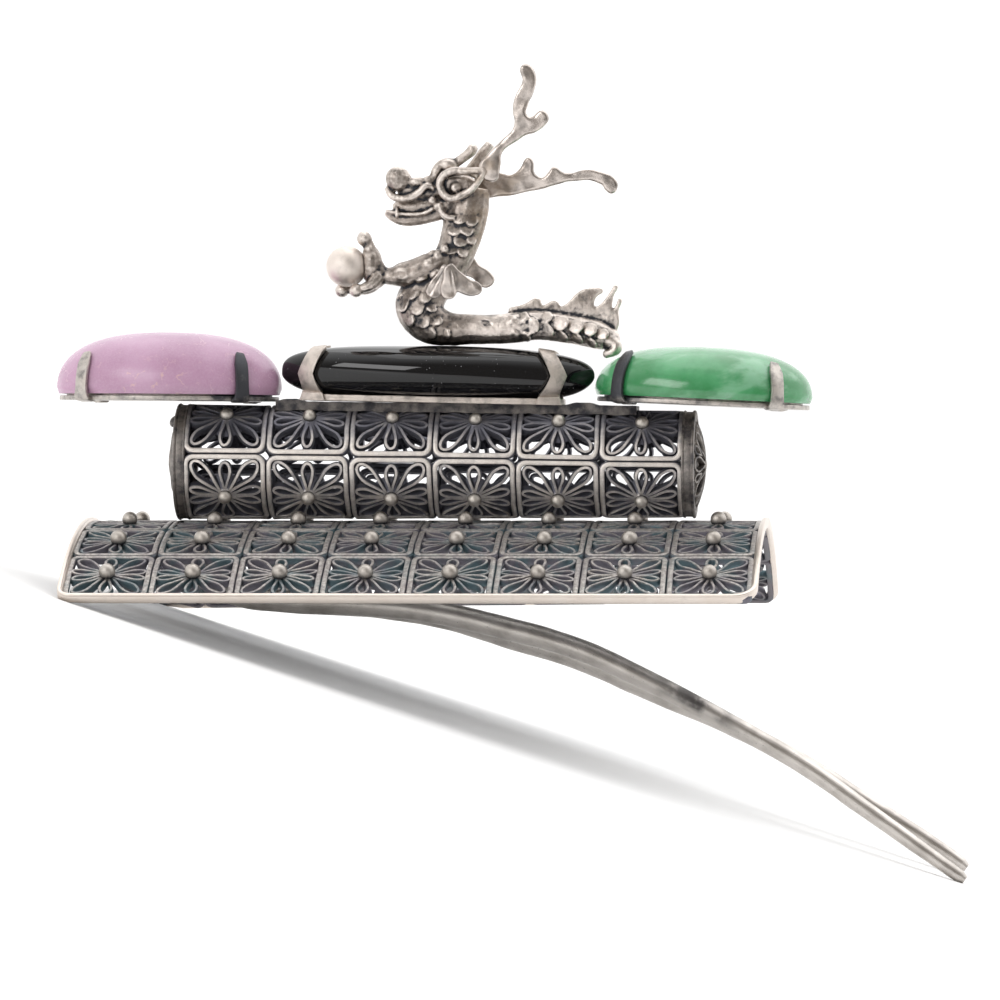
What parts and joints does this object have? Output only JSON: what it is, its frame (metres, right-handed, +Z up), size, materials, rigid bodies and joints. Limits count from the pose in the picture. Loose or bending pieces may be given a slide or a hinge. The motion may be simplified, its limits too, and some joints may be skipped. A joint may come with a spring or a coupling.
{
  "type": "cheopji hair ornament",
  "caption": "Silver filigree hair ornament: arched plate, openwork drum, oval stones, dragon with a ball in its claw, and a curved hair fork.",
  "frame": {"origin": "on the surface that the ornament rests on, below the middle of its bounding box", "axes": "+X along the plate towards the tips of the fork, +Z up from the surface, and the picture looks along +Y with its camera a little to the +X side; as worn, the plate's arch lies over the head and the part is turned about Y until the plate is level"},
  "size_m": [0.102, 0.048, 0.0639],
  "materials": {
    "silver": "silver filigree wire, polished on top and darkened in the recesses",
    "dark_silver": "oxidised silver, dark grey with worn bright edges",
    "lilac_stone": "opaque lilac stone with cream veins, polished",
    "black_stone": "black onyx, polished like a mirror",
    "green_stone": "mottled green jade, slightly translucent, polished",
    "brushed_silver": "silver wire brushed lengthwise, with dark tarnish in places",
    "cast_silver": "cast silver, satin, darkened in the hollows",
    "polished_silver": "polished silver ball"
  },
  "bodies": {
    "root": {"base_plate": "silver", "drum": "dark_silver", "drum_cap_left": "dark_silver", "drum_cap_right": "dark_silver", "deck_bar": "dark_silver", "seat_lilac": "silver", "stone_lilac": "lilac_stone", "seat_black": "silver", "stone_black": "black_stone", "seat_green": "silver", "stone_green": "green_stone", "hair_fork": "brushed_silver", "dragon": "cast_silver", "antler_upper": "cast_silver", "antler_back": "cast_silver", "elbow_fin": "cast_silver", "back_fin": "cast_silver", "pearl": "polished_silver"}
  },
  "joints": []
}
